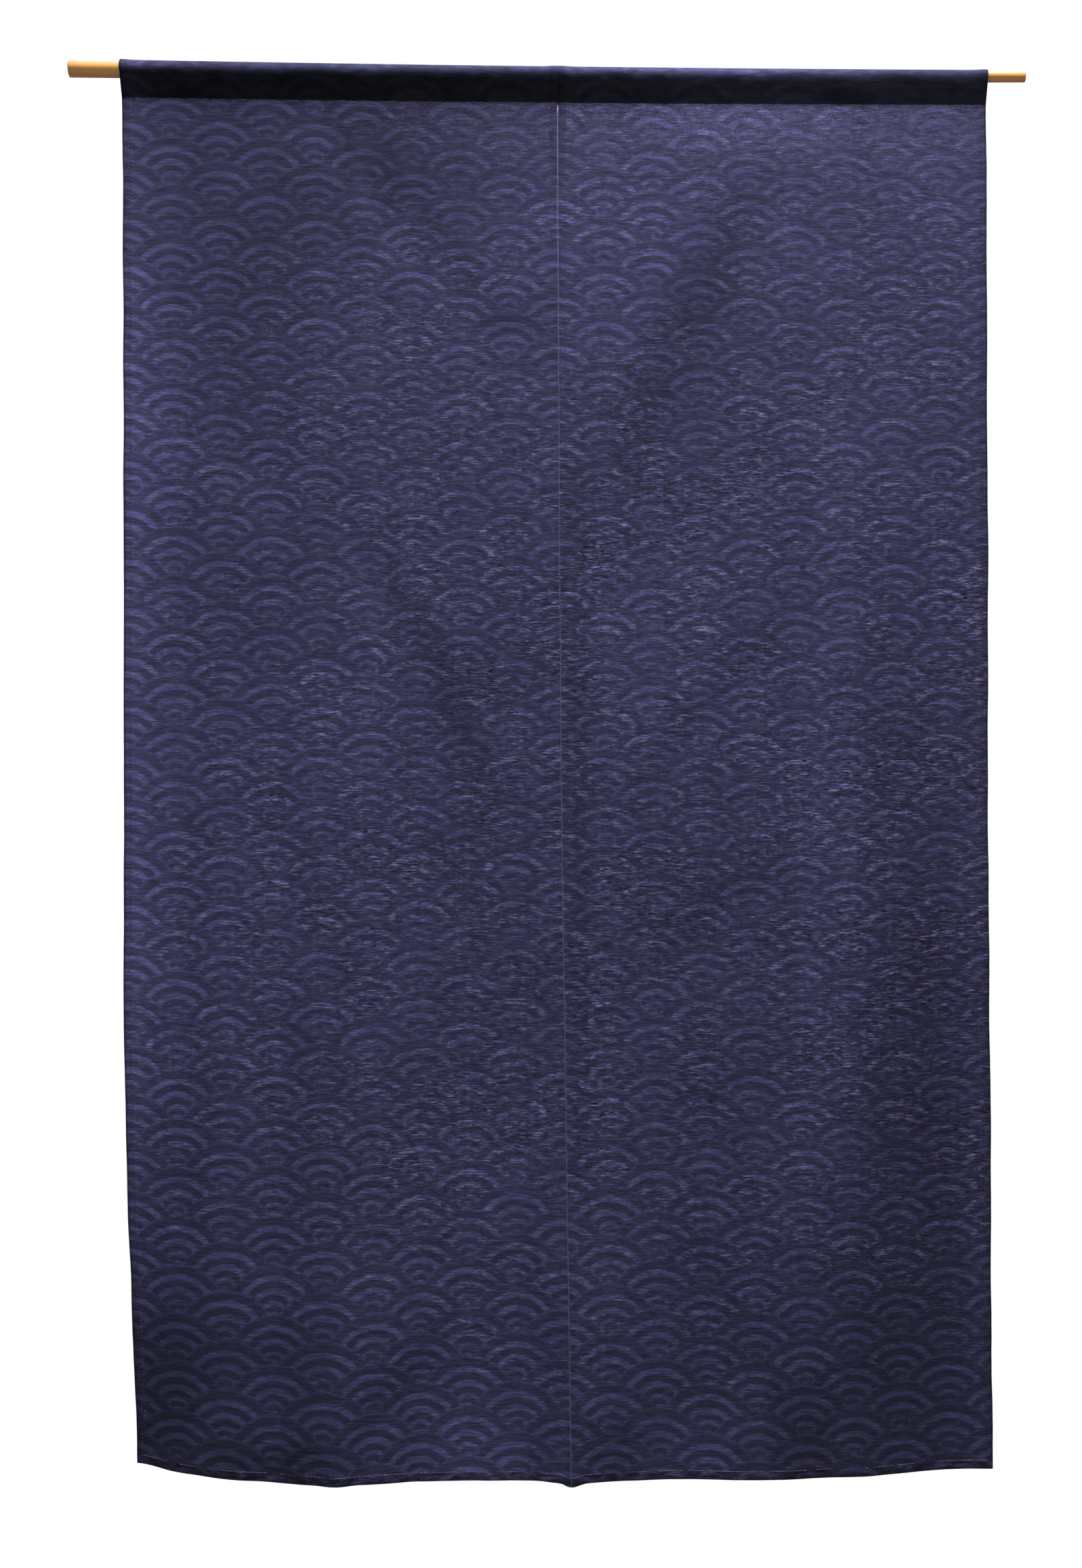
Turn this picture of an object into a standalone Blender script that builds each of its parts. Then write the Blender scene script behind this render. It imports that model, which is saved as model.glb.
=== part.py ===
"""A split door curtain (noren) on its pole, in the shape in which it hangs.

Metres, +Z up, +X to the viewer's right and -Y towards the viewer. The origin is on the pole's axis,
half way along it. Two cloth panels hang side by side with a slit between them. Each panel is one
sheet: a sleeve sewn closed round the pole, and the drop below the sleeve's seam.
"""

import math
from collections import namedtuple

import bmesh
import bpy

# Pole: a natural stick, thick at the left, thin at the right, hung a little crooked
POLE_LENGTH = 1.012
POLE_RADIUS_LEFT = 0.0091
POLE_RADIUS_RIGHT = 0.0058
POLE_FALL = 0.0088  # how much lower the right end lies than the left end
POLE_BOW = 0.0020  # how far the middle sags below a straight line through the ends
POLE_SIDES = 20
POLE_PARTS = 12

# Cloth
CLOTH_THICK = 0.0012
HEM_THICK = 0.0020  # turned edges hold three layers
HEM_WIDTH = 0.009
HEM_SLOPE = 0.002  # width over which a hem thins down to the cloth
SLEEVE_GAP = 0.0003  # between the pole and the sleeve
SEAM_BELOW = 0.030  # from the pole's axis down to the sleeve's seam
SEAM_BULK = 1.5  # thickness at the seam, as a multiple of the cloth's own
CROTCH_RISE = 0.003  # the sleeve's hollow ends this far above the seam
DROP = 1.459  # from the seam down to the bottom hem
SLEEVE_WRAP = math.radians(220)  # how much of the pole's round the sleeve lies on
SLEEVE_FLARE = 0.0035  # the sleeve's outer end spreads this much from the seam to its top
SLIT_HALF = 0.0010  # half the gap at the top of the slit
SLIT_HALF_LOW = 0.0004  # half the gap further down
SLIT_CLOSES = 0.09  # share of the drop over which the gap narrows
SLIT_HALF_SLEEVE = 0.0003  # half the gap where the two sleeves meet

# Steps of the mesh
ARC_STEPS = 12
COLUMNS = 15
ROWS_UPPER = 9
ROWS_LOWER = 10
LOWER_FROM = 0.55  # the rows stand closer below this share of the drop
BELOW_SEAM = (0.006, 0.045)  # first rows under the seam, where its bulk thins out

# The panels' outline: where its upright edges lie across, at shares of the drop below the seam
Outline = namedtuple("Outline", "down left slit right")
OUTLINE = (
    Outline(0.00, -0.4502, 0.0113, 0.4645),
    Outline(0.07, -0.4480, 0.0113, 0.4642),
    Outline(0.50, -0.4468, 0.0153, 0.4672),
    Outline(0.75, -0.4468, 0.0203, 0.4724),
    Outline(0.91, -0.4415, 0.0237, 0.4745),
    Outline(1.00, -0.4378, 0.0256, 0.4765),
)

# Folds that come forward (or lie back, where forward is below zero) as a soft round ridge
Ridge = namedtuple("Ridge", "at_seam at_hem reach starts forward")
RIDGES = (
    Ridge(-0.180, -0.222, 0.095, 0.05, 0.021),  # the left panel's main fold
    Ridge(-0.222, -0.222, 0.026, 0.80, 0.005),  # its sharper tip at the hem
    Ridge(-0.350, -0.335, 0.060, 0.40, 0.003),  # a weak swell beside it
    Ridge(0.011, 0.025, 0.046, 0.50, 0.009),  # both panels beside the slit
    Ridge(0.090, 0.150, 0.130, 0.04, -0.008),  # the right panel's shallow hollow
)

# Outer parts of the cloth that turn back towards the wall, and the edge that flares again
Turn = namedtuple("Turn", "begins ends starts forward")
TURNS = (
    Turn(-0.305, -0.440, 0.62, -0.025),  # bottom left corner
    Turn(0.190, 0.410, 0.30, -0.028),  # right side
    Turn(0.415, 0.476, 0.45, 0.005),  # right edge
)

# The bottom hem: corners drawn up by their stitching, and the corners at the slit that sag
LEFT_CORNER_RISE = 0.0045
RIGHT_CORNER_RISE = 0.009
LEFT_RISE_REACH = 0.055
RIGHT_RISE_REACH = 0.150
SLIT_CORNER_SAG = 0.007
SLIT_CORNER_REACH = 0.014

CLOTH_COLOUR = (0.043, 0.043, 0.095, 1.0)
CLOTH_ROUGHNESS = 0.9
POLE_COLOUR = (0.45, 0.21, 0.06, 1.0)
POLE_ROUGHNESS = 0.35
SMOOTH_ANGLE = math.radians(40)


def smooth(t):
    """0 to 1 with level ends."""
    t = min(max(t, 0.0), 1.0)
    return t * t * (3.0 - 2.0 * t)


def bell(t):
    """1 in the middle, 0 from -1 and +1 outward."""
    if abs(t) >= 1.0:
        return 0.0
    return 0.5 + 0.5 * math.cos(math.pi * t)


def outline(column, down):
    """A column of OUTLINE at a share of the drop, on a smooth curve through its rows."""
    rows = OUTLINE
    last = len(rows) - 1
    index = max(i for i in range(last) if rows[i].down <= down or i == 0)
    low, high = rows[index], rows[index + 1]
    before, after = rows[max(index - 1, 0)], rows[min(index + 2, last)]
    span = high.down - low.down
    start_slope = (getattr(high, column) - getattr(before, column)) / (high.down - before.down)
    end_slope = (getattr(after, column) - getattr(low, column)) / (after.down - low.down)
    t = (down - low.down) / span
    return (
        (2 * t**3 - 3 * t**2 + 1) * getattr(low, column)
        + (t**3 - 2 * t**2 + t) * span * start_slope
        + (3 * t**2 - 2 * t**3) * getattr(high, column)
        + (t**3 - t**2) * span * end_slope
    )


def pole_height(x):
    """Height of the pole's axis."""
    share = x / (POLE_LENGTH / 2)
    return -POLE_FALL / 2 * share - POLE_BOW * (1 - share * share)


def pole_radius(x):
    share = x / POLE_LENGTH + 0.5
    return POLE_RADIUS_LEFT + (POLE_RADIUS_RIGHT - POLE_RADIUS_LEFT) * share


def forward(x, down):
    """How far the cloth comes forward of the pole's axis at x, at a share of the drop."""
    total = 0.0
    for ridge in RIDGES:
        centre = ridge.at_seam + (ridge.at_hem - ridge.at_seam) * down
        grown = smooth((down - ridge.starts) / (1 - ridge.starts))
        total += ridge.forward * grown * bell((x - centre) / ridge.reach)
    for turn in TURNS:
        grown = smooth((down - turn.starts) / (1 - turn.starts))
        total += turn.forward * grown * smooth((x - turn.begins) / (turn.ends - turn.begins))
    return total


def hem_shift(side, from_side, from_slit, down):
    """How far the cloth is drawn up, or sags, near the bottom hem's corners."""
    corner_rise = LEFT_CORNER_RISE if side < 0 else RIGHT_CORNER_RISE
    reach = LEFT_RISE_REACH if side < 0 else RIGHT_RISE_REACH
    rise = corner_rise * (1 - smooth(from_side / reach)) * down**3
    sag = SLIT_CORNER_SAG * (1 - smooth(from_slit / SLIT_CORNER_REACH)) * down**12
    return rise - sag


def cloth_thickness(from_edge):
    """Full over the hem, then down to the plain cloth."""
    share = smooth((from_edge - HEM_WIDTH) / HEM_SLOPE)
    return HEM_THICK + (CLOTH_THICK - HEM_THICK) * share


def slit_gap(down):
    """Half the gap between the panels at a share of the drop."""
    return SLIT_HALF + (SLIT_HALF_LOW - SLIT_HALF) * smooth(down / SLIT_CLOSES)


def row_shares():
    """Shares of the drop at which the mesh has rows, from below the seam down to the hem."""
    upper = [LOWER_FROM * i / ROWS_UPPER for i in range(1, ROWS_UPPER)]
    lower_end = 1 - (HEM_WIDTH + HEM_SLOPE) / DROP
    lower = [LOWER_FROM + (lower_end - LOWER_FROM) * i / ROWS_LOWER for i in range(ROWS_LOWER + 1)]
    below_seam = [distance / DROP for distance in BELOW_SEAM]
    return below_seam + upper + lower + [1 - HEM_WIDTH / DROP, 1.0]


def column_places(width):
    """Distances from the slit edge, with a column at each side of both hems' slopes."""
    hem_end = HEM_WIDTH + HEM_SLOPE
    inner = [hem_end + (width - 2 * hem_end) * i / COLUMNS for i in range(COLUMNS + 1)]
    return [0.0, HEM_WIDTH] + inner + [width - HEM_WIDTH, width]


def sleeve_section(x, thick):
    """The sleeve cut across at x: (y, z) lists of its outer and inner loop, front seam to back seam."""
    centre = pole_height(x)
    inner_radius = (pole_radius(x) + SLEEVE_GAP) / math.cos(SLEEVE_WRAP / ARC_STEPS / 2)
    outer_radius = inner_radius + thick
    seam_half = thick * SEAM_BULK / 2
    crotch = SEAM_BELOW - CROTCH_RISE

    def arc(radius, seam_y, seam_depth):
        reach = math.hypot(seam_y, seam_depth)
        touch = math.pi - math.atan2(seam_y, seam_depth) - math.acos(radius / reach)
        turns = [touch * (1 - 2 * i / ARC_STEPS) for i in range(ARC_STEPS + 1)]
        return [(-radius * math.sin(a), centre + radius * math.cos(a)) for a in turns]

    seam = centre - SEAM_BELOW
    outer = [(-seam_half, seam)] + arc(outer_radius, seam_half, SEAM_BELOW) + [(seam_half, seam)]
    inner = [(0.0, centre - crotch)] + arc(inner_radius, 0.0, crotch)
    return outer, inner


def panel_section(side, from_slit, width, rows):
    """One column of a panel as two loops of points: all round the cloth, and round the sleeve's hollow."""
    edge_column = "left" if side < 0 else "right"
    share = from_slit / width
    from_side = width - from_slit
    side_thick = cloth_thickness(min(from_slit, from_side))

    def across(down, half_gap):
        slit = outline("slit", down) + side * half_gap
        edge = outline(edge_column, down)
        return slit + (edge - slit) * share

    sleeve_x = across(0.0, SLIT_HALF_SLEEVE)
    outer, inner = sleeve_section(sleeve_x, side_thick)
    top = pole_height(sleeve_x) - SEAM_BELOW
    flare = side * share * SLEEVE_FLARE / SEAM_BELOW

    def on_sleeve(points):
        return [(sleeve_x + flare * (z - top), y, z) for y, z in points]

    front, back = [], []
    for down in rows:
        x = across(down, slit_gap(down))
        thick = max(side_thick, cloth_thickness((1 - down) * DROP))
        y = -forward(x, down)
        z = top - DROP * down + hem_shift(side, from_side, from_slit, down)
        front.append((x, y - thick / 2, z))
        back.append((x, y + thick / 2, z))
    return front[::-1] + on_sleeve(outer) + back, on_sleeve(inner)


def cap_panel(bm, loop, hollow, rows):
    """Closes one side of a panel: the drop's strip, the seam's corner and the sleeve's ring."""
    last = len(loop) - 1
    for i in range(rows):
        bm.faces.new((loop[i], loop[i + 1], loop[last - i - 1], loop[last - i]))
    front_seam, back_seam = loop[rows], loop[last - rows]
    bm.faces.new((front_seam, hollow[0], back_seam))
    ring = loop[rows : last - rows + 1]
    around = hollow + [hollow[0]]
    for i in range(len(ring) - 1):
        bm.faces.new((ring[i], ring[i + 1], around[i + 1], around[i]))


def skin(bm, first, second):
    """Quads between two closed loops of as many points."""
    count = len(first)
    for i in range(count):
        j = (i + 1) % count
        bm.faces.new((first[i], first[j], second[j], second[i]))


def finish(name, bm, material):
    """Makes the object, smooth but for its sharp edges."""
    bmesh.ops.recalc_face_normals(bm, faces=bm.faces)
    mesh = bpy.data.meshes.new(name)
    bm.to_mesh(mesh)
    bm.free()
    mesh.materials.append(material)
    mesh.shade_smooth()
    mesh.set_sharp_from_angle(angle=SMOOTH_ANGLE)
    made = bpy.data.objects.new(name, mesh)
    bpy.context.scene.collection.objects.link(made)
    return made


def plain_material(name, colour, roughness):
    material = bpy.data.materials.new(name)
    material.use_nodes = True
    shader = material.node_tree.nodes["Principled BSDF"]
    shader.inputs["Base Color"].default_value = colour
    shader.inputs["Roughness"].default_value = roughness
    shader.inputs["Metallic"].default_value = 0.0
    material.diffuse_color = colour
    return material


def make_pole():
    """A tapered round stick along X, with square-cut flat ends."""
    bm = bmesh.new()
    bmesh.ops.create_cone(
        bm,
        cap_ends=True,
        segments=POLE_SIDES,
        radius1=POLE_RADIUS_LEFT,
        radius2=POLE_RADIUS_RIGHT,
        depth=POLE_LENGTH,
    )
    along = [e for e in bm.edges if abs(e.verts[0].co.z - e.verts[1].co.z) > POLE_LENGTH / 2]
    bmesh.ops.subdivide_edges(bm, edges=along, cuts=POLE_PARTS - 1, use_grid_fill=True)
    for vert in bm.verts:
        x, y, z = vert.co.z, vert.co.y, vert.co.x
        vert.co = (x, y, z + pole_height(x))
    return finish("rod", bm, plain_material("rod", POLE_COLOUR, POLE_ROUGHNESS))


def make_panel(name, side):
    """A panel to the left (side -1) or right (side +1) of the slit."""
    edge = OUTLINE[0].left if side < 0 else OUTLINE[0].right
    width = abs(edge - OUTLINE[0].slit)
    rows = row_shares()
    bm = bmesh.new()
    sections = []
    for place in column_places(width):
        loop, hollow = panel_section(side, place, width, rows)
        sections.append(([bm.verts.new(p) for p in loop], [bm.verts.new(p) for p in hollow]))
    for (loop, hollow), (next_loop, next_hollow) in zip(sections, sections[1:]):
        skin(bm, loop, next_loop)
        skin(bm, hollow, next_hollow)
    cap_panel(bm, *sections[0], len(rows))
    cap_panel(bm, *sections[-1], len(rows))
    return finish(name, bm, plain_material(name, CLOTH_COLOUR, CLOTH_ROUGHNESS))


def main():
    for old in list(bpy.data.objects):
        bpy.data.objects.remove(old)
    make_pole()
    make_panel("left_panel", -1)
    make_panel("right_panel", 1)


main()
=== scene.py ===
"""Looks of a split door curtain (noren) on its rod: patterned cloth, stitching, varnished rod and stage.

Laid out as a Blender add-on and run as a script. Metres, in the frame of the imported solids: the rod's
axis runs along X, the cloth hangs down -Z and its front faces -Y.
"""

import math
import random
from collections import namedtuple

import bpy
from bpy.props import FloatProperty, FloatVectorProperty, IntProperty, PointerProperty
from bpy.types import Operator, Panel, PropertyGroup
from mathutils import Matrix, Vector, noise


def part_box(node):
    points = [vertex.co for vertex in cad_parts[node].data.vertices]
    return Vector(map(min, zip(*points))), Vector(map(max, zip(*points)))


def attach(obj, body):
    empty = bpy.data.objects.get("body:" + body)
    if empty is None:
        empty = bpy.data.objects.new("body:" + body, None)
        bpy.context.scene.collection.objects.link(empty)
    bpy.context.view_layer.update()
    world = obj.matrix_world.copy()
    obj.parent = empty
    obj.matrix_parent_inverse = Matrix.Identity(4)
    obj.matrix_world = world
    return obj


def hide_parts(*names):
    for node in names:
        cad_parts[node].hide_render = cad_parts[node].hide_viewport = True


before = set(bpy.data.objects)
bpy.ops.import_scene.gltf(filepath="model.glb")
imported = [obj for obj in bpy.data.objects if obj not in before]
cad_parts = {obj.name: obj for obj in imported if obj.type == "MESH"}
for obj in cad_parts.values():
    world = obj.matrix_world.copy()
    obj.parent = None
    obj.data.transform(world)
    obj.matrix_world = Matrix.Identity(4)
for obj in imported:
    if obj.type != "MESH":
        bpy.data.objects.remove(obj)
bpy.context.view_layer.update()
ROD_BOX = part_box("rod")

bl_info = {
    "name": "Noren Curtain",
    "version": (1, 0, 0),
    "blender": (4, 5, 0),
    "location": "3D View > Sidebar > Noren",
    "description": "Builds a split cloth door curtain on a tapering rod, with its wave pattern and stitching",
    "category": "Object",
}

BODY = "root"
SIDES = {"left": -1, "right": 1}

# The rod's line, as in the solids
ROD_LENGTH = ROD_BOX[1][0] - ROD_BOX[0][0]
ROD_RADIUS_LEFT = 0.0091
ROD_RADIUS_RIGHT = 0.0058
ROD_FALL = 0.0088
ROD_BOW = 0.0020
ROD_BARE_FROM = 0.465

# The cloth's lie, as in the solids
SEAM_BELOW = 0.030
DROP = 1.459
SLEEVE_GAP = 0.0003
SLEEVE_FLARE = 0.0010
SLEEVE_HEM_GAP = 0.0006
SLIT_HALF = 0.0005
SLIT_HALF_LOW = 0.00010
SLIT_CLOSES = 0.014
SLIT_HALF_SLEEVE = 0.00002
EDGE_OUT = 0.0012  # the turned edge's fold stands beyond the solids' middle
SLEEVE_BLEND = 0.004  # length below the seam over which the slit opens

# Stitch lines, in from the edge they run along, and half the width of a turned edge's fold
SLIT_STITCHES_IN = 0.0070
SIDE_STITCHES_IN = 0.0062
SECOND_ROW_IN = 0.0092
BOTTOM_STITCHES_IN = 0.0092
FOLD_STEP = 0.0004

# Where the panels' upright edges lie across, at shares of the drop below the seam
Outline = namedtuple("Outline", "down left slit right")
OUTLINE = (
    Outline(0.00, -0.4502, 0.0113, 0.4645),
    Outline(0.07, -0.4480, 0.0113, 0.4642),
    Outline(0.50, -0.4468, 0.0153, 0.4672),
    Outline(0.75, -0.4468, 0.0203, 0.4724),
    Outline(0.91, -0.4415, 0.0237, 0.4745),
    Outline(1.00, -0.4378, 0.0256, 0.4765),
)

# Folds that come forward, or lie back where forward is below zero
Ridge = namedtuple("Ridge", "at_seam at_hem reach starts forward")
RIDGES = (
    Ridge(-0.180, -0.222, 0.095, 0.05, 0.021),
    Ridge(-0.222, -0.222, 0.026, 0.80, 0.005),
    Ridge(-0.350, -0.335, 0.060, 0.40, 0.003),
    Ridge(0.011, 0.025, 0.046, 0.50, 0.009),
    Ridge(0.090, 0.150, 0.130, 0.04, -0.008),
)

# Outer parts of the cloth that turn back towards the wall, and the right edge that flares again
Turn = namedtuple("Turn", "begins ends starts forward")
TURNS = (
    Turn(-0.305, -0.440, 0.62, -0.025),
    Turn(0.190, 0.410, 0.30, -0.028),
    Turn(0.415, 0.476, 0.45, 0.005),
)

# Corners of the bottom hem
LEFT_CORNER_RISE = 0.0045
RIGHT_CORNER_RISE = 0.009
LEFT_RISE_REACH = 0.055
RIGHT_RISE_REACH = 0.150
SLIT_CORNER_SAG = 0.0064
SLIT_CORNER_REACH = 0.014

# Creases in the sheet, from one end (across, share of the drop) to the other; forward below zero is a
# trough, and the last column is the painted shade along it, where less light comes through; below zero it is
# painted light
Crease = namedtuple("Crease", "from_x from_down to_x to_down reach forward dims")
CREASES = (
    Crease(-0.220, 0.02, -0.060, 0.16, 0.040, -0.0015, 0.10),  # left panel, upper slant
    Crease(-0.275, 0.02, -0.150, 0.13, 0.026, 0.0005, -0.07),  # left panel, ray beside it
    Crease(-0.205, 0.29, -0.053, 0.53, 0.044, -0.0020, 0.17),  # left panel, long slant to the slit
    Crease(-0.300, 0.52, -0.110, 0.78, 0.040, -0.0011, 0.04),  # left panel, lower slant
    Crease(-0.199, 0.96, -0.109, 0.89, 0.030, -0.0010, 0.19),  # left panel, short slant at the hem
    Crease(0.230, 0.05, 0.066, 0.29, 0.054, -0.0024, 0.26),  # right panel, upper slant
    Crease(0.247, 0.38, 0.110, 0.48, 0.034, -0.0012, 0.16),  # right panel, middle slant
    Crease(0.239, 0.54, 0.108, 0.64, 0.034, -0.0013, 0.15),  # right panel, lower slant
    Crease(0.130, 0.80, 0.250, 0.97, 0.045, -0.0014, 0.09),  # right panel, slant to the hem
    Crease(0.029, 0.26, 0.034, 0.80, 0.021, -0.0004, 0.20),  # beside the slit
    Crease(-0.125, 0.16, 0.008, 0.17, 0.018, -0.0006, 0.08),  # left panel, level crease
    Crease(-0.177, 0.03, -0.174, 0.68, 0.012, -0.0005, -0.03),  # left panel, upright crease
    Crease(0.272, 0.00, 0.279, 0.58, 0.011, -0.0007, 0.05),  # right panel, upright crease
    Crease(0.288, 0.00, 0.295, 0.50, 0.012, 0.0003, -0.06),  # its raised neighbour
)

# How much lower the bottom hem hangs across, beside the formulas below; it fades upward
HemLine = namedtuple("HemLine", "x lower")
HEM_LINE = (
    HemLine(-0.440, 0.0005),
    HemLine(-0.400, 0.0034),
    HemLine(-0.290, 0.0038),
    HemLine(-0.220, 0.0004),
    HemLine(-0.150, 0.0027),
    HemLine(-0.075, 0.0010),
    HemLine(0.008, 0.0004),
    HemLine(0.026, -0.0022),
    HemLine(0.038, 0.0009),
    HemLine(0.067, 0.0014),
    HemLine(0.140, 0.0006),
    HemLine(0.290, 0.0001),
    HemLine(0.354, 0.0023),
    HemLine(0.480, 0.0027),
)

# Painted light where more light comes through the cloth, or painted shade where change is below zero:
# soft patches about a place across and a share of the drop
Patch = namedtuple("Patch", "x down reach_x reach_down change")
PATCHES = (
    Patch(-0.24, 0.00, 0.30, 0.20, -0.33),
    Patch(-0.03, 0.10, 0.30, 0.05, 0.16),
    Patch(0.21, 0.00, 0.16, 0.05, 0.26),
    Patch(-0.30, 0.18, 0.07, 0.13, -0.14),
    Patch(0.06, 0.16, 0.07, 0.04, 0.12),
    Patch(0.18, 0.15, 0.05, 0.10, -0.08),
    Patch(-0.45, 0.50, 0.085, 0.70, 0.26),
    Patch(-0.45, 0.42, 0.035, 0.60, 0.22),
    Patch(0.12, 0.40, 0.09, 0.10, 0.18),
    Patch(-0.30, 0.55, 0.16, 0.20, 0.13),
    Patch(0.30, 0.55, 0.05, 0.40, 0.14),
    Patch(0.47, 0.80, 0.04, 0.45, 0.14),
    Patch(0.39, 0.66, 0.05, 0.16, -0.12),
    Patch(-0.33, 0.95, 0.30, 0.10, -0.29),
    Patch(-0.30, 1.00, 0.09, 0.05, -0.34),
    Patch(-0.41, 0.95, 0.05, 0.07, -0.14),
    Patch(-0.24, 0.99, 0.06, 0.03, -0.16),
    Patch(-0.08, 0.98, 0.06, 0.05, 0.14),
    Patch(0.06, 0.98, 0.05, 0.04, -0.24),
    Patch(0.16, 0.98, 0.05, 0.04, 0.16),
    Patch(0.21, 1.00, 0.30, 0.20, -0.23),
    Patch(0.27, 1.00, 0.05, 0.10, -0.36),
)

# How the weave lies on each panel: shifts in metres across (u) and down (v) from the upright, measured
# from the slit's head, as sums of powers of the distance across and of the share of the drop
POWERS = (
    (0, 0), (1, 0), (0, 1), (1, 1), (0, 2), (1, 2), (2, 2),
    (2, 0), (3, 0), (2, 1), (3, 1), (0, 3), (1, 3), (3, 3),
)
Lie = namedtuple("Lie", "u u_forward v")
LIES = {
    "left": Lie(
        (-0.00743, -0.00295, -0.02150, -0.01246, 0.00936),
        -0.15815,
        (
            -0.17489, 0.01419, -0.02723, -0.12452, 0.09696, 0.23113, -0.39190,
            0.10577, 0.13350, -0.17575, -0.36010, -0.07462, -0.17749, -0.46296,
        ),
    ),
    "right": Lie(
        (-0.01031, 0.00355, 0.00246, -0.02954, -0.00852),
        -0.00329,
        (
            -0.17752, -0.00999, -0.00407, 0.10297, 0.03727, -0.18771, -0.09132,
            -0.00448, 0.01640, -0.12582, 0.21965, -0.03589, 0.10172, 0.24502,
        ),
    ),
}

# Radii at which a wave's rings change, from the middle out, in metres
RING_EDGES = (0.0053, 0.0110, 0.0153, 0.0221, 0.0286, 0.0361, 0.0422, 0.0508)
PANEL_WIDTH = 0.457  # finished width of a panel, for the places of its hems
HEM_SHADE_WIDTH = 0.0083  # width of the painted shade over the turned edge
# Weft threads that stand out, the specks at the head and where the sleeve's length passes over the rod
DARK_WEFT = (0.0115, 0.0100, 0.0190)
PALE_WEFT = (0.185, 0.166, 0.335)
SPECK = (0.21, 0.21, 0.28)
SPECK_SIZE = 0.0009
SLEEVE_TOP = 0.49

# From dark 0 to light 1, from the middle out
RING_GREYS = (0.75, 0.10, 0.85, 0.04, 0.92, 0.0, 1.0, 0.06, 0.52)


class ClothSizes(PropertyGroup):
    """Sizes of the cloth's sheet, hems and thread."""

    thickness: FloatProperty(
        name="Thickness", description="Thickness of one layer of cloth", default=0.0005, unit="LENGTH"
    )
    hem_width: FloatProperty(
        name="Hem width", description="Width of the turned edges", default=0.0085, unit="LENGTH"
    )
    hem_gap: FloatProperty(
        name="Hem gap", description="From the cloth to its turned layer", default=0.0009, unit="LENGTH"
    )
    mesh_step: FloatProperty(
        name="Mesh step", description="Spacing of the sheet's points", default=0.0056, unit="LENGTH"
    )
    stitch_length: FloatProperty(
        name="Stitch length", description="Length of one stitch", default=0.0016, unit="LENGTH"
    )
    stitch_pitch: FloatProperty(
        name="Stitch pitch", description="From one stitch to the next", default=0.0038, unit="LENGTH"
    )
    thread_radius: FloatProperty(
        name="Thread radius",
        description="Half the thickness of the thread",
        default=0.00028,
        unit="LENGTH",
    )


class WavePattern(PropertyGroup):
    """Spacing and colours of the wave pattern."""

    pitch: FloatProperty(
        name="Pitch", description="Across, from wave to wave in a row", default=0.1013, unit="LENGTH"
    )
    row_step: FloatProperty(
        name="Row step", description="Down, from row to row", default=0.02578, unit="LENGTH"
    )
    radius: FloatProperty(
        name="Wave radius", description="Outer radius of a wave", default=0.0533, unit="LENGTH"
    )
    thread_pitch: FloatProperty(
        name="Thread pitch",
        description="From one weft thread to the next",
        default=0.0007,
        unit="LENGTH",
    )
    dark: FloatVectorProperty(
        name="Dark",
        description="Colour of the dark rings",
        subtype="COLOR",
        default=(0.0262, 0.0265, 0.0620),
    )
    light: FloatVectorProperty(
        name="Light",
        description="Colour of the light rings",
        subtype="COLOR",
        default=(0.0570, 0.0550, 0.1450),
    )
    # colour of the painted highlight along the slit's folded edges
    fold: FloatVectorProperty(
        name="Fold",
        description="Colour of the slit's folded edges",
        subtype="COLOR",
        default=(0.180, 0.175, 0.280),
    )
    thread: FloatVectorProperty(
        name="Thread",
        description="Colour of the sewing thread",
        subtype="COLOR",
        default=(0.110, 0.105, 0.190),
    )


class RodLook(PropertyGroup):
    """Colours and steps of the rod."""

    sides: IntProperty(name="Sides", description="Points round the rod", default=48, min=12)
    parts: IntProperty(name="Parts", description="Rings along the rod", default=64, min=8)
    end_round: FloatProperty(
        name="End rounding", description="Worn edge at the cut ends", default=0.0005, unit="LENGTH"
    )
    pale: FloatVectorProperty(
        name="Pale wood",
        description="Colour of the pale grain",
        subtype="COLOR",
        default=(0.68, 0.360, 0.095),
    )
    deep: FloatVectorProperty(
        name="Deep wood",
        description="Colour of the deep grain",
        subtype="COLOR",
        default=(0.56, 0.265, 0.055),
    )
    # painted highlight towards the rod's top
    top: FloatVectorProperty(
        name="Top",
        description="Colour towards the painted top",
        subtype="COLOR",
        default=(0.47, 0.410, 0.560),
    )
    # painted shade towards the rod's underside
    under: FloatVectorProperty(
        name="Underside",
        description="Colour towards the underside",
        subtype="COLOR",
        default=(0.33, 0.100, 0.006),
    )


class StageLook(PropertyGroup):
    """Floor, light and camera."""

    floor_drop: FloatProperty(
        name="Floor drop", description="From the rod down to the floor", default=1.90, unit="LENGTH"
    )
    key_power: FloatProperty(
        name="Key power", description="Power of the overhead light in watts", default=165.0
    )
    fill: FloatProperty(name="Fill", description="Strength of the light from all round", default=0.34)
    camera_distance: FloatProperty(
        name="Camera distance", description="From the camera to the cloth", default=2.0, unit="LENGTH"
    )
    photo_scale: FloatProperty(
        name="Photo scale",
        description="Metres at the cloth for one pixel of the photo",
        default=0.000718,
        precision=6,
    )


# Shader graph helpers


class Value:
    """A shader socket; arithmetic on it adds Math nodes."""

    def __init__(self, graph, socket):
        self.graph = graph
        self.socket = socket

    def __add__(self, other):
        return self.graph.math("ADD", self, other)

    def __sub__(self, other):
        return self.graph.math("SUBTRACT", self, other)

    def __rsub__(self, other):
        return self.graph.math("SUBTRACT", other, self)

    def __mul__(self, other):
        return self.graph.math("MULTIPLY", self, other)

    def __truediv__(self, other):
        return self.graph.math("DIVIDE", self, other)

    def __lt__(self, other):
        return self.graph.math("LESS_THAN", self, other)

    def __gt__(self, other):
        return self.graph.math("GREATER_THAN", self, other)

    __radd__ = __add__
    __rmul__ = __mul__


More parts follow.
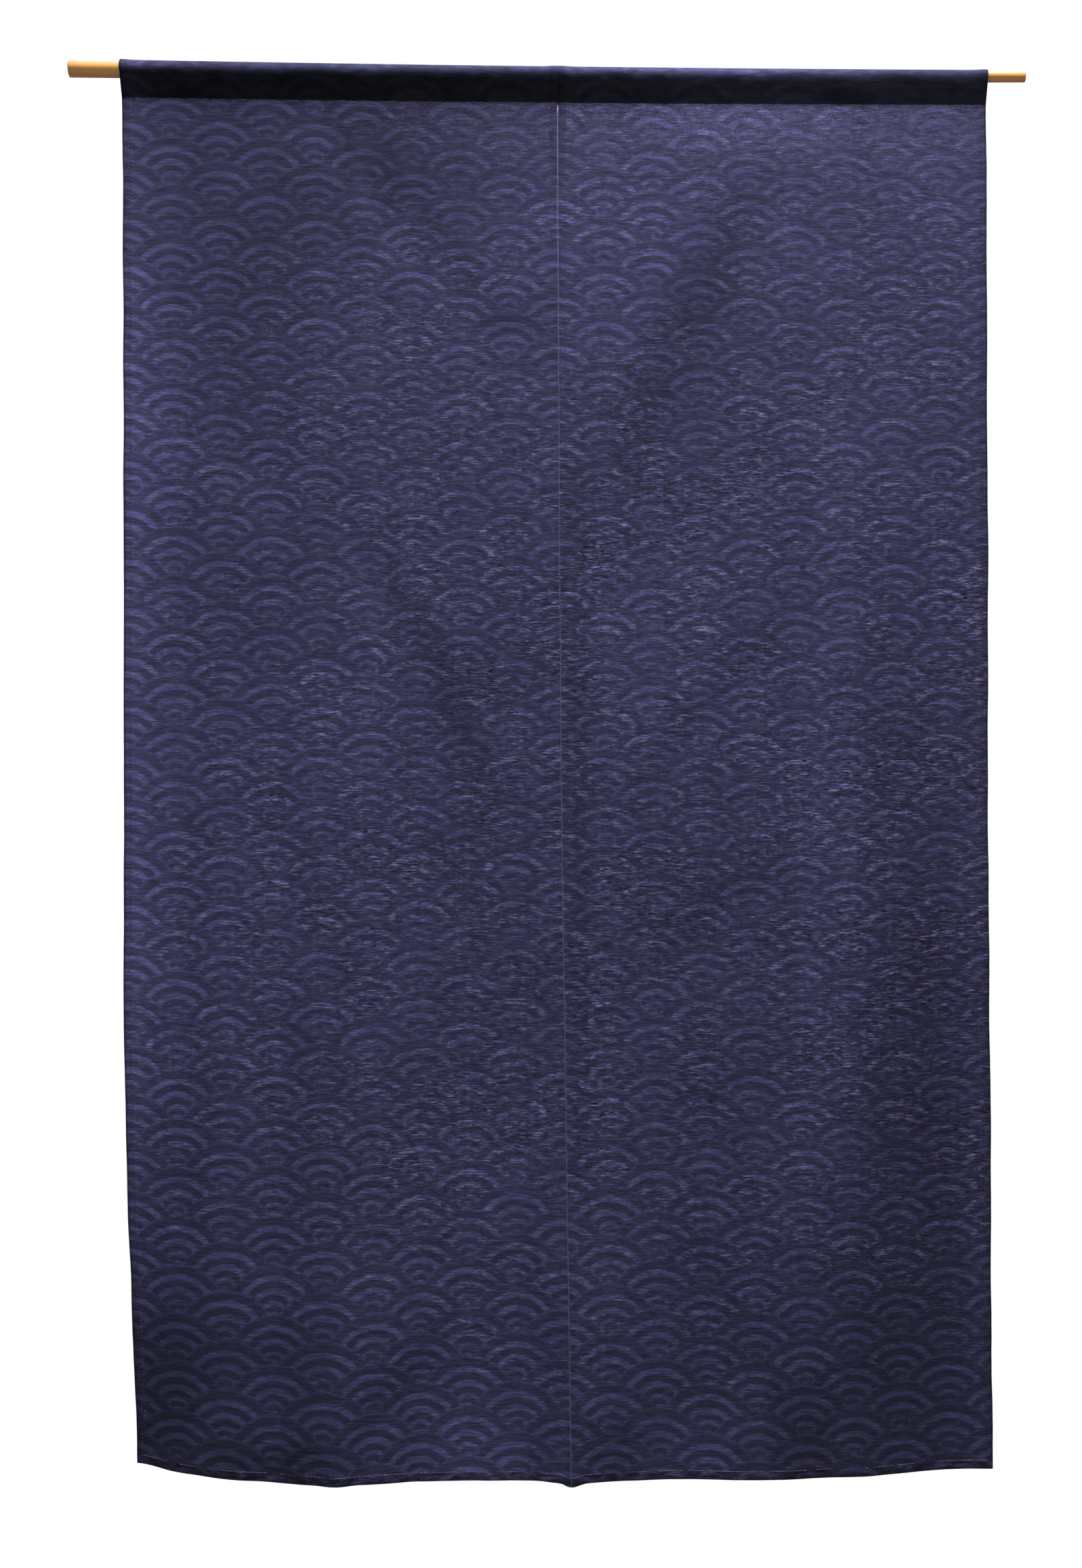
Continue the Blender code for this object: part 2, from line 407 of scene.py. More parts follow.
class Graph:
    """The nodes of one material."""

    def __init__(self, name):
        self.material = bpy.data.materials.new(name)
        self.material.use_nodes = True
        self.tree = self.material.node_tree
        self.shader = self.tree.nodes["Principled BSDF"]

    def node(self, kind, settings=(), values=(), out=0):
        """Adds a node: its settings first, then numbers or links for its sockets."""
        made = self.tree.nodes.new(kind)
        for key, setting in dict(settings).items():
            if key == "stops":
                self.set_stops(made.color_ramp, setting)
            else:
                setattr(made, key, setting)
        for key, value in dict(values).items():
            self.feed(made.inputs[key], value)
        return Value(self, made.outputs[out])

    def feed(self, socket, value):
        if isinstance(value, Value):
            self.tree.links.new(value.socket, socket)
        else:
            socket.default_value = value

    def set_stops(self, ramp, stops):
        while len(ramp.elements) < len(stops):
            ramp.elements.new(1.0)
        for element, (position, grey) in zip(ramp.elements, stops):
            element.position = position
            element.color = (grey, grey, grey, 1.0)

    def math(self, operation, *values):
        return self.node("ShaderNodeMath", {"operation": operation}, dict(enumerate(values)))

    def mix(self, factor, first, second):
        """Between two numbers."""
        return first + (second - first) * factor

    def mix_colour(self, factor, first, second):
        values = {0: factor, 6: colour(first), 7: colour(second)}
        return self.node("ShaderNodeMix", {"data_type": "RGBA"}, values, out=2)

    def pair(self, x, y):
        return self.node("ShaderNodeCombineXYZ", values={0: x, 1: y})

    def uv(self, name):
        """A UV map as a vector and as its two numbers."""
        place = self.node("ShaderNodeUVMap", {"uv_map": name})
        u = self.node("ShaderNodeSeparateXYZ", values={0: place})
        return place, u, Value(self, u.socket.node.outputs[1])

    def noise(self, vector, scale, detail=2.0, roughness=0.5):
        return self.node(
            "ShaderNodeTexNoise",
            values={"Vector": vector, "Scale": scale, "Detail": detail, "Roughness": roughness},
        )

    def span(self, value, low, high, to_low=0.0, to_high=1.0):
        """Maps low..high to to_low..to_high, held at both ends."""
        return self.node(
            "ShaderNodeMapRange", {"clamp": True}, {0: value, 1: low, 2: high, 3: to_low, 4: to_high}
        )

    def set(self, **sockets):
        """Feeds the shader's own sockets, named with spaces as underscores."""
        for name, value in sockets.items():
            self.feed(self.shader.inputs[name.replace("_", " ")], value)

    def bump(self, height, distance, strength=1.0, normal=None):
        values = {"Height": height, "Distance": distance, "Strength": strength}
        if normal is not None:
            values["Normal"] = normal
        return self.node("ShaderNodeBump", values=values)


def colour(value):
    """Four numbers for a colour of three; a link stays as it is."""
    return value if isinstance(value, Value) else (*value, 1.0)


# Shape of the hung cloth


def smooth(t):
    """0 to 1 with level ends."""
    t = min(max(t, 0.0), 1.0)
    return t * t * (3.0 - 2.0 * t)


def bell(t):
    """1 in the middle, 0 from -1 and +1 outward."""
    return 0.5 + 0.5 * math.cos(math.pi * t) if abs(t) < 1.0 else 0.0


def outline(column, down):
    """A column of OUTLINE at a share of the drop, on a smooth curve through its rows."""
    last = len(OUTLINE) - 1
    index = max(i for i in range(last) if OUTLINE[i].down <= down or i == 0)
    low, high = OUTLINE[index], OUTLINE[index + 1]
    before, after = OUTLINE[max(index - 1, 0)], OUTLINE[min(index + 2, last)]
    span = high.down - low.down
    start_slope = (getattr(high, column) - getattr(before, column)) / (high.down - before.down)
    end_slope = (getattr(after, column) - getattr(low, column)) / (after.down - low.down)
    t = (down - low.down) / span
    return (
        (2 * t**3 - 3 * t**2 + 1) * getattr(low, column)
        + (t**3 - 2 * t**2 + t) * span * start_slope
        + (3 * t**2 - 2 * t**3) * getattr(high, column)
        + (t**3 - t**2) * span * end_slope
    )


def rod_height(x):
    """Height of the rod's axis."""
    share = x / (ROD_LENGTH / 2)
    return -ROD_FALL / 2 * share - ROD_BOW * (1 - share * share)


def rod_radius(x):
    share = x / ROD_LENGTH + 0.5
    return ROD_RADIUS_LEFT + (ROD_RADIUS_RIGHT - ROD_RADIUS_LEFT) * share


def forward(x, down):
    """How far the solid's cloth comes forward of the rod's axis."""
    total = 0.0
    for ridge in RIDGES:
        centre = ridge.at_seam + (ridge.at_hem - ridge.at_seam) * down
        grown = smooth((down - ridge.starts) / (1 - ridge.starts))
        total += ridge.forward * grown * bell((x - centre) / ridge.reach)
    for turn in TURNS:
        grown = smooth((down - turn.starts) / (1 - turn.starts))
        total += turn.forward * grown * smooth((x - turn.begins) / (turn.ends - turn.begins))
    return total


def crease_relief(x, down, column="forward"):
    """Soft troughs and ridges along the creases, or another column of theirs."""
    total = 0.0
    for crease in CREASES:
        ax, az = crease.from_x, crease.from_down * DROP
        bx, bz = crease.to_x, crease.to_down * DROP
        length = math.hypot(bx - ax, bz - az)
        along = ((x - ax) * (bx - ax) + (down * DROP - az) * (bz - az)) / length
        aside = ((x - ax) * (bz - az) - (down * DROP - az) * (bx - ax)) / length
        if abs(aside) < crease.reach and -crease.reach < along < length + crease.reach:
            ends = smooth((along + crease.reach) / (3 * crease.reach))
            ends *= smooth((length + crease.reach - along) / (3 * crease.reach))
            total += getattr(crease, column) * bell(aside / crease.reach) * ends
    return total


def wave(x, z, size, seed):
    """Even noise from about -1 to 1, with bumps of that size."""
    return noise.noise(Vector((x / size, z / size, seed)))


def through_light(x, down):
    """Painted light and shade as a factor on the cloth's colour, for the share of the usual light that comes
    through: the patches, the creases, and painted shade where the cloth is turned away.
    """
    total = -crease_relief(x, down, "dims")
    for patch in PATCHES:
        sideways = smooth(1.5 - 1.5 * abs(x - patch.x) / patch.reach_x)
        upright = smooth(1.5 - 1.5 * abs(down - patch.down) / patch.reach_down)
        total += patch.change * sideways * upright
    # painted shade where the cloth turns back, up to 0.4 off its colour
    return math.exp(total) * (1 - 0.40 * smooth(-forward(x, down) / 0.027))


def loose_relief(x, down, from_side, from_slit):
    """Small unevenness: slack in the sheet, and puckers beside the seam and the hems."""
    z = down * DROP
    slack = 0.00075 * wave(x, z * 0.6, 0.110, 3.1) + 0.00028 * wave(x, z * 0.8, 0.042, 8.7)
    seam = 0.00045 * wave(x, z * 0.15, 0.011, 5.5) * (1 - smooth(z / 0.060))
    upright = 0.00055 * (wave(from_side, z, 0.016, 1.3) * (1 - smooth(from_side / 0.026)))
    upright += 0.00055 * (wave(from_slit, z, 0.016, 2.9) * (1 - smooth(from_slit / 0.026)))
    bottom = 0.0008 * wave(x, z * 0.2, 0.020, 7.7) * (1 - smooth((DROP - z) / 0.040))
    return slack * smooth((z + 0.02) / 0.1) + seam + upright + bottom


def hem_line(x):
    """HEM_LINE at a place across, eased from row to row."""
    for low, high in zip(HEM_LINE, HEM_LINE[1:]):
        if x <= high.x:
            return low.lower + (high.lower - low.lower) * smooth((x - low.x) / (high.x - low.x))
    return HEM_LINE[-1].lower


def hem_shift(side, from_side, from_slit, down):
    """How far the cloth is drawn up, or sags, near the bottom hem's corners."""
    corner_rise = LEFT_CORNER_RISE if side < 0 else RIGHT_CORNER_RISE
    reach = LEFT_RISE_REACH if side < 0 else RIGHT_RISE_REACH
    rise = corner_rise * (1 - smooth(from_side / reach)) * down**3
    sag = SLIT_CORNER_SAG * (1 - smooth(from_slit / SLIT_CORNER_REACH)) * down**12
    return rise - sag


class HungPanel:
    """One panel's sheet: places a point of the flat cloth in space.

    from_slit is the distance across from the slit edge, along the distance down from the seam, below
    zero up the sleeve's front, over the rod and down its back. layer 0 is the outer cloth and layer 1
    the turned cloth behind it.
    """

    def __init__(self, name, sizes):
        self.side = SIDES[name]
        self.edge_column = name
        self.sizes = sizes
        self.width = abs(getattr(OUTLINE[0], name) - OUTLINE[0].slit)
        self.sleeve_length = 2 * (SEAM_BELOW + 0.5 * math.pi * ROD_RADIUS_LEFT)

    def across(self, share, down):
        sleeve = smooth(1 - down * DROP / SLEEVE_BLEND)
        half = SLIT_HALF + (SLIT_HALF_LOW - SLIT_HALF) * smooth(down / SLIT_CLOSES)
        half += (SLIT_HALF_SLEEVE - half) * sleeve
        slit = outline("slit", down) + self.side * half
        edge = outline(self.edge_column, down) + self.side * EDGE_OUT * smooth(down * 20)
        wobble = 0.0009 * noise.noise(Vector((down * 21.0, self.side * 4.0, 0.5)))
        wobble *= share**8 * smooth(down * 12)
        return slit + (edge - slit) * share + self.side * wobble

    def weave_place(self, from_slit, along):
        """Where a point lies on the woven pattern, across and down from a wave's centre."""
        lie = LIES[self.edge_column]
        down = max(along, 0.0) / DROP
        here = self.point(from_slit, max(along, 0.0))
        x = here.x - OUTLINE[0].slit
        terms = [x**across * down**below for across, below in POWERS]
        u = here.x + sum(share * term for share, term in zip(lie.u, terms))
        u += lie.u_forward * forward(here.x, down)
        v = -here.z + sum(share * term for share, term in zip(lie.v, terms))
        return u, v + min(along, 0.0)

    def hem_bulk(self, from_slit):
        """1 where side hems lie under the cloth, 0 further in."""
        from_edge = min(from_slit, self.width - from_slit)
        return 1 - smooth((from_edge - self.sizes.hem_width) / 0.003)

    def point(self, from_slit, along, layer=0.0, out=0.0):
        """The place in space; out is how far it stands proud of the cloth's middle."""
        if along < 0:
            return self.on_sleeve(from_slit, -along, layer, out)
        down = along / DROP
        x = self.across(from_slit / self.width, down)
        from_side = self.width - from_slit
        relief = crease_relief(x, down) + loose_relief(x, down, from_side, from_slit)
        y = -forward(x, down) - relief + layer * self.sizes.hem_gap - out
        z = self.seam_height(from_slit) - along + hem_shift(self.side, from_side, from_slit, down)
        z -= hem_line(x) * down**6
        return Vector((x, y, z))

    def seam_height(self, from_slit):
        return rod_height(self.across(from_slit / self.width, 0.0)) - SEAM_BELOW

    def on_sleeve(self, from_slit, up, layer, out):
        """A point on the sleeve, at a distance from the seam measured up the front and over the rod."""
        share = from_slit / self.width
        x = self.across(share, 0.0)
        centre = rod_height(x)
        bulk = self.hem_bulk(from_slit) * SLEEVE_HEM_GAP
        radius = rod_radius(x) + SLEEVE_GAP + self.sizes.thickness / 2 + bulk
        touch = math.pi - math.acos(radius / SEAM_BELOW)
        straight = math.sqrt(SEAM_BELOW**2 - radius**2)
        arc = 2 * touch * radius
        slack = 0.0010 * wave(x, up, 0.030, 4.4) * bell((up / straight - 0.55) / 0.55)
        proud = out + slack - layer * SLEEVE_HEM_GAP
        if straight <= up <= straight + arc:
            angle = touch - (up - straight) / radius
            reach = radius + proud
            y, z = -reach * math.sin(angle), centre + reach * math.cos(angle)
        else:
            front = up < straight
            angle = touch if front else -touch
            run = (straight - up) if front else (up - straight - arc)
            tail = self.sizes.hem_gap * smooth((run - straight * 0.8) / (straight * 0.2))
            y = -(radius + proud) * math.sin(angle)
            y += math.copysign(run * math.cos(math.pi - abs(angle)), angle)
            y += 0.0 if front else tail
            z = centre + (radius + proud) * math.cos(angle) - run * math.sin(math.pi - abs(angle))
        x += self.side * share * SLEEVE_FLARE * (z - centre + SEAM_BELOW) / SEAM_BELOW
        return Vector((x, y, z))

    def sleeve_end(self, from_slit):
        """Distance from the seam, over the rod, to the sleeve's sewn edge at the back."""
        x = self.across(from_slit / self.width, 0.0)
        bulk = self.hem_bulk(from_slit) * SLEEVE_HEM_GAP
        radius = rod_radius(x) + SLEEVE_GAP + self.sizes.thickness / 2 + bulk
        touch = math.pi - math.acos(radius / SEAM_BELOW)
        return 2 * (math.sqrt(SEAM_BELOW**2 - radius**2) + touch * radius) + 0.0015


def steps(start, end, step):
    """Even numbers from start to end, both counted, about a step apart."""
    count = max(1, round(abs(end - start) / step))
    return [start + (end - start) * i / count for i in range(count + 1)]


def turned(edge, inward, hem):
    """Places and layers of a turned edge, from its raw end round the fold: inward is +1 or -1."""
    return [
        (edge + inward * hem, 1.0),
        (edge + inward * hem * 0.5, 1.0),
        (edge + inward * FOLD_STEP, 1.0),
        (edge, 0.5),
    ]


def panel_sheet(name, sizes):
    """The sheet of one panel as one grid with its turned hems, made solid and smooth."""
    hung = HungPanel(name, sizes)
    hem = sizes.hem_width
    inner = [FOLD_STEP] + steps(hem / 2, hung.width - hem / 2, sizes.mesh_step) + [hung.width - FOLD_STEP]
    columns = turned(0.0, 1, hem) + [(place, 0.0) for place in inner] + turned(hung.width, -1, hem)[::-1]
    drop = steps(0.0, 0.030, 0.005) + steps(0.036, DROP - hem, sizes.mesh_step * 1.2)
    drop += [DROP - hem / 2, DROP - FOLD_STEP]
    sleeve_shares = [i / 34 for i in range(35)]
    rows = [("sleeve", share, 0.0) for share in sleeve_shares[::-1][:-1]]
    rows += [("drop", along, 0.0) for along in drop]
    rows += [("drop", along, layer) for along, layer in turned(DROP, -1, hem)[::-1]]
    points, weaves, cuts, lights = [], [], [], []
    for kind, value, row_layer in rows:
        for place, column_layer in columns:
            along = -value * hung.sleeve_end(place) if kind == "sleeve" else value
            points.append(hung.point(place, along, row_layer + column_layer))
            weaves.append(hung.weave_place(place, along))
            x = hung.across(place / hung.width, max(along, 0.0) / DROP)
            # painted light and shade at this point
            lights.append(through_light(x, max(along, 0.0) / DROP))
            cuts.append((place / hung.width, -value if kind == "sleeve" else along))
    across = len(columns)
    faces = []
    for row in range(len(rows) - 1):
        for column in range(across - 1):
            corner = row * across + column
            faces.append((corner, corner + across, corner + across + 1, corner + 1))
    mesh = bpy.data.meshes.new(f"{name}_cloth")
    mesh.from_pydata(points, [], faces)
    for map_name, places in (("weave", weaves), ("cut", cuts)):
        mesh.uv_layers.new(name=map_name)
        uv = mesh.uv_layers[map_name]
        for loop in mesh.loops:
            uv.data[loop.index].uv = places[loop.vertex_index]
    # the painted light and shade, kept on the points for the cloth's colour
    mesh.attributes.new("through_light", "FLOAT", "POINT").data.foreach_set("value", lights)
    piece = bpy.data.objects.new(f"{name}_cloth", mesh)
    bpy.context.scene.collection.objects.link(piece)
    select_only(piece)
    solid = piece.modifiers.new("thickness", "SOLIDIFY")
    solid.thickness = sizes.thickness
    solid.offset = 0.0
    bpy.ops.object.modifier_apply(modifier=solid.name)
    bpy.ops.object.mode_set(mode="EDIT")
    bpy.ops.mesh.select_all(action="SELECT")
    bpy.ops.mesh.normals_make_consistent(inside=False)
    bpy.ops.object.mode_set(mode="OBJECT")
    bpy.ops.object.shade_smooth_by_angle(angle=math.radians(50))
    return piece


def select_only(piece):
    """Selects one object and makes it active."""
    bpy.ops.object.select_all(action="DESELECT")
    piece.select_set(True)
    bpy.context.view_layer.objects.active = piece


# Stitching


def one_stitch(sizes):
    """Points and faces of a single stitch along X, as a small thread with drawn-in ends."""
    bpy.ops.object.select_all(action="DESELECT")
    bpy.ops.mesh.primitive_cylinder_add(
        vertices=6, radius=sizes.thread_radius, depth=sizes.stitch_length, rotation=(0, math.radians(90), 0)
    )
    stitch = bpy.context.object
    bpy.ops.object.transform_apply(location=False, rotation=True, scale=False)
    bpy.ops.object.mode_set(mode="EDIT")
    bpy.ops.mesh.select_all(action="SELECT")
    bpy.ops.mesh.bisect(plane_co=(-sizes.stitch_length * 0.28, 0, 0), plane_no=(1, 0, 0))
    bpy.ops.mesh.select_all(action="SELECT")
    bpy.ops.mesh.bisect(plane_co=(sizes.stitch_length * 0.28, 0, 0), plane_no=(1, 0, 0))
    bpy.ops.object.mode_set(mode="OBJECT")
    for vert in stitch.data.vertices:
        if abs(vert.co.x) > sizes.stitch_length * 0.45:
            vert.co.y *= 0.45
            vert.co.z = vert.co.z * 0.45 - sizes.thread_radius
    points = [vert.co.copy() for vert in stitch.data.vertices]
    faces = [tuple(face.vertices) for face in stitch.data.polygons]
    bpy.data.objects.remove(stitch)
    return points, faces


def stitch_lines(hung):
    """The sewn lines of a panel: points along each, and its stitches' length and share that shows."""
    sizes = hung.sizes
    low = DROP - BOTTOM_STITCHES_IN
    head = steps(0.002, 0.090, sizes.stitch_pitch)
    below = steps(0.094, DROP - 0.005, sizes.stitch_pitch)
    upright = steps(0.002, DROP - 0.005, sizes.stitch_pitch)
    level = steps(0.003, hung.width - 0.003, sizes.stitch_pitch * 1.2)
    seam = steps(0.002, hung.width - 0.002, sizes.stitch_pitch * 0.8)
    lines = [
        ([(SLIT_STITCHES_IN, along) for along in head], 1.0, 0.75),
        ([(SLIT_STITCHES_IN, along) for along in below], 1.0, 0.12),
        ([(hung.width - SIDE_STITCHES_IN, along) for along in upright], 1.0, 0.62),
        ([(place, low) for place in level], 2.8, 0.50),
        ([(place, FOLD_STEP) for place in seam], 1.2, 0.45),
    ]
    if hung.side < 0:
        lines.append(([(hung.width - SECOND_ROW_IN, along + 0.0016) for along in upright], 1.0, 0.55))
    return lines


def panel_stitching(name, sizes):
    """All the stitches of one panel, front and back, as one mesh."""
    hung = HungPanel(name, sizes)
    chance = random.Random(11 + hung.side)
    stitch_points, stitch_faces = one_stitch(sizes)
    points, faces = [], []
    for number, (line, stretch, showing) in enumerate(stitch_lines(hung)):
        for (place, along), (next_place, next_along) in zip(line, line[1:]):
            spread = 0.10 if stretch > 2 else 0.35
            sunk = wave(place, along, 0.011 * stretch, 20.0 + number) * 0.9 + chance.uniform(-spread, spread)
            if sunk > showing - 0.45:
                continue
            place += chance.uniform(-0.00015, 0.00015)
            for face_side in (1, -1):
                behind = 0.0 if face_side > 0 else 1.0
                out = sizes.thickness / 2 + sizes.thread_radius * 0.5
                here = hung.point(place, along, behind, face_side * out)
                there = hung.point(next_place, next_along, behind, face_side * out)
                step = (there - here).normalized()
                outward = Vector((0, -face_side, 0))
                aside = outward.cross(step).normalized()
                outward = step.cross(aside)
                turn = chance.uniform(-0.12, 0.12)
                aside, step = aside + step * turn, step - aside * turn
                base = len(points)
                thick = 1.4 if stretch > 2 else 1.0
                for p in stitch_points:
                    points.append(here + step * (p.x * stretch) + aside * (p.y * thick) + outward * p.z)
                faces.extend(tuple(base + i for i in face) for face in stitch_faces)
    mesh = bpy.data.meshes.new(f"{name}_stitching")
    mesh.from_pydata(points, [], faces)
    piece = bpy.data.objects.new(f"{name}_stitching", mesh)
    bpy.context.scene.collection.objects.link(piece)
    select_only(piece)
    bpy.ops.object.mode_set(mode="EDIT")
    bpy.ops.mesh.select_all(action="SELECT")
    bpy.ops.mesh.normals_make_consistent(inside=False)
    bpy.ops.object.mode_set(mode="OBJECT")
    bpy.ops.object.shade_smooth_by_angle(angle=math.radians(60))
    return piece


# Materials


def wave_rings(graph, u, v, pattern):
    """1 in the light rings of overlapping waves and 0 in the dark ones."""
    rows = v / pattern.row_step
    row = graph.math("FLOOR", rows)
    rest = rows - row
    odd = graph.math("MODULO", graph.math("ABSOLUTE", row), 2.0)
    half = pattern.pitch / 2
    even_dx = graph.math("PINGPONG", graph.math("ABSOLUTE", u), half)
    odd_dx = half - even_dx
    near_dx = graph.mix(odd, odd_dx, even_dx)
    next_dx = graph.mix(odd, even_dx, odd_dx)

    def reach(dx, rows_below):
        drop = (rows_below - rest) * pattern.row_step
        return graph.math("SQRT", dx * dx + drop * drop)

    first, second, third = reach(near_dx, 1), reach(next_dx, 2), reach(near_dx, 3)
    distance = graph.mix(second < pattern.radius, first, second)
    distance = graph.mix(third < pattern.radius, distance, third)
    soft = 0.0007
    stops = [(0.0, RING_GREYS[0])]
    for edge, inner, outer in zip(RING_EDGES, RING_GREYS, RING_GREYS[1:]):
        stops.append(((edge - soft) / pattern.radius, inner))
        stops.append(((edge + soft) / pattern.radius, outer))
    return graph.node("ShaderNodeValToRGB", {"stops": stops}, {0: distance / pattern.radius})


def cloth_material(pattern):
    """Indigo slub weave with the wave pattern, read from the woven cloth's own coordinates, under painted
    light and shade.
    """
    graph = Graph("wave_cloth")
    weave, u, v = graph.uv("weave")
    _, share, along = graph.uv("cut")
    from_slit, from_side = share * PANEL_WIDTH, (1 - share) * PANEL_WIDTH
    thread = pattern.thread_pitch

    lengthwise = graph.mix(along > 0.0, v, along)

    def weft(pitch):
        """Number of the weft thread; the threads run straight across the cut cloth."""
        return graph.math("FLOOR", lengthwise / pitch)

    def slub(pitch, per_metre, seed):
        """Uneven thickness along each weft thread: one random line for each thread."""
        return graph.noise(graph.pair(u * per_metre, weft(pitch) * 7.31 + seed), 1.0, 1.0)

    # The waves, drawn thread by thread
    fine_slub, long_slub = slub(thread, 210.0, 0.0), slub(thread * 2.2, 95.0, 31.0)
    jog = graph.node("ShaderNodeTexWhiteNoise", {"noise_dimensions": "1D"}, {"W": weft(thread)}) - 0.5
    ragged_u = u + (fine_slub - 0.5) * 0.0050 + (long_slub - 0.5) * 0.0030 + jog * 0.0010
    ragged_v = v + (weft(thread) + 0.5) * thread - lengthwise + (graph.noise(weave, 70.0, 1.0) - 0.5) * 0.0022
    rings = wave_rings(graph, ragged_u, ragged_v, pattern)
    worn = graph.span(graph.noise(weave, 14.0, 2.0), 0.30, 0.70, 0.66, 0.94)
    worn = worn * graph.span(u, -0.40, -0.15, 1.12, 1.0) * graph.span(along, 0.95, 1.35, 1.0, 1.25)
    head = graph.span(along, 0.20, 0.0) * graph.span(u, 0.05, 0.35, 0.05, 0.34)
    rings = 0.42 + (rings - 0.42) * worn * (1 - head) * graph.span(along, -0.01, 0.0, 0.60, 1.0)
    base = graph.mix_colour(rings, pattern.dark, pattern.light)

    # Pale and dark lengths of weft, in restless and calm parts
    restless = graph.span(graph.noise(weave, 4.0, 2.0), 0.34, 0.60, 0.60, 1.0)
    restless = restless * graph.span(u, -0.45, -0.15, 0.45, 1.0) * graph.span(along, 1.45, 1.05, 0.35, 1.0)
    restless = restless * graph.span(along, 0.06, 0.45, 0.46, 1.0)
    restless = restless * graph.span(graph.noise(weave, 17.0, 3.0), 0.38, 0.60, 0.60, 1.30)
    restless = restless * graph.span(along, -0.01, 0.0, 0.4, 1.0)
    pale = graph.span(slub(thread * 1.3, 105.0, 5.0), 0.52, 0.66)
    dark = graph.span(slub(thread * 1.5, 90.0, 17.0), 0.49, 0.64)
    base = graph.mix_colour(dark * restless * (0.46 + rings * 0.66), base, DARK_WEFT)
    base = graph.mix_colour(pale * restless * (0.24 + rings * 0.76) * 0.88, base, PALE_WEFT)
    speck_place = graph.pair(graph.math("FLOOR", u / SPECK_SIZE), weft(SPECK_SIZE))
    grain = graph.node("ShaderNodeTexWhiteNoise", {"noise_dimensions": "2D"}, {"Vector": speck_place})
    speckled = (along > 0.0) * graph.span(along, 0.09, 0.0) * graph.span(u, -0.30, -0.05)
    base = graph.mix_colour((grain > 0.78) * speckled * 0.16, base, SPECK)

    # Painted shade where the turned hems, the doubled sleeve and the parts that are turned away let less
    # light through, and painted light where more comes through
    bottom = DROP - along
    # painted shade over the turned hems: strongest near the slit's head, even along the outer side
    slit_hem_shade = (from_slit < HEM_SHADE_WIDTH) * graph.span(along, 0.02, 0.16, 0.26, 0.05)
    side_hem_shade = (from_side < HEM_SHADE_WIDTH) * 0.18
    # uneven painted shade along the bottom hem, painted light where it falls below zero
    uneven_hem_shade = graph.span(graph.noise(graph.pair(u * 90.0, v * 260.0), 1.0, 2.0), 0.36, 0.62, -0.25, 0.62)
    bottom_hem_shade = (bottom < HEM_SHADE_WIDTH) * uneven_hem_shade
    hem = graph.math("MAXIMUM", graph.math("MAXIMUM", slit_hem_shade, side_hem_shade), bottom_hem_shade)
    # painted shade along the folded side and bottom edges, the colour falling to 0.4 at the fold
    rim = graph.math("MINIMUM", graph.span(from_side, 0.0006, 0.0028), graph.span(bottom, 0.0004, 0.0032))
    # painted shade on the doubled sleeve, front and back, below its top over the rod: a ragged edge, less of
    # it to the right, in the light rings and in soft parts
    ragged_shade_edge = graph.noise(graph.pair(u * 38.0, v * 60.0), 1.0, 2.0) - 0.5
    from_top = graph.math("ABSOLUTE", along + SLEEVE_TOP) + ragged_shade_edge * 0.10
    sleeve = (along < 0.0) * graph.node(
        "ShaderNodeMapRange", {"interpolation_type": "SMOOTHSTEP"}, {0: from_top, 1: 0.105, 2: 0.235}
    )
    less_sleeve_shade = graph.span(graph.noise(graph.pair(u * 16.0, v * 22.0), 1.0, 2.0), 0.44, 0.68)
    less_sleeve_shade = less_sleeve_shade * 0.050 + graph.span(from_side, 0.055, 0.005) * 0.045
    less_sleeve_shade = less_sleeve_shade + graph.span(along, -0.14, -0.01) * 0.022
    sleeve = sleeve * (graph.span(u, -0.10, 0.42, 0.985, 0.905) - rings * 0.090 - less_sleeve_shade)
    # painted shade over the right part of the sleeve
    right_sleeve_shade = (along < 0.0) * graph.span(u, 0.05, 0.40, 0.0, 0.24)
    # the painted light and shade kept on the points
    through = graph.node("ShaderNodeAttribute", {"attribute_name": "through_light"}, out=2)
    mottle = graph.span(graph.noise(weave, 7.0, 3.0), 0.3, 0.7, 0.92, 1.08)
    fine = graph.span(graph.noise(graph.pair(u * 1400.0, v * 1400.0), 1.0, 1.0), 0.25, 0.75, 0.88, 1.12)
    fine = fine * graph.span(slub(thread * 1.25, 48.0, 43.0), 0.36, 0.64, 0.72, 1.29)
    # the cloth's tone: random mottle and grain times the painted shade and light
    tone = mottle * fine * (1 - hem) * (1 - sleeve) * (1 - right_sleeve_shade) * through * (0.40 + rim * 0.60)
    base = graph.node("ShaderNodeVectorMath", {"operation": "SCALE"}, {0: base, "Scale": tone})

    # Painted highlight along the folded slit edges, where they catch the light
    lit = (along > 0.0) * graph.span(from_slit, 0.0007, 0.0003) * graph.span(along, 0.02, 0.30, 0.86, 0.42)
    base = graph.mix_colour(lit, base, pattern.fold)

    warp_thread = graph.math("SINE", u * (2 * math.pi / thread))
    weft_thread = graph.math("SINE", v * (2 * math.pi / thread))
    weave_height = warp_thread * weft_thread * 0.5 + (fine_slub - 0.5) * 1.6
    creased = graph.noise(graph.pair(u * 24.0, v * 15.0), 1.0, 3.0, 0.55)
    soft = graph.bump(creased, 0.0012, 0.5)
    rough = graph.span(graph.noise(weave, 60.0, 1.0), 0.3, 0.7, 0.84, 0.96)
    graph.set(Base_Color=base, Roughness=rough, Normal=graph.bump(weave_height, 0.00016, 0.7, soft))
    graph.set(Sheen_Weight=0.03, Sheen_Roughness=0.45, Specular_IOR_Level=0.10)
    return graph.material


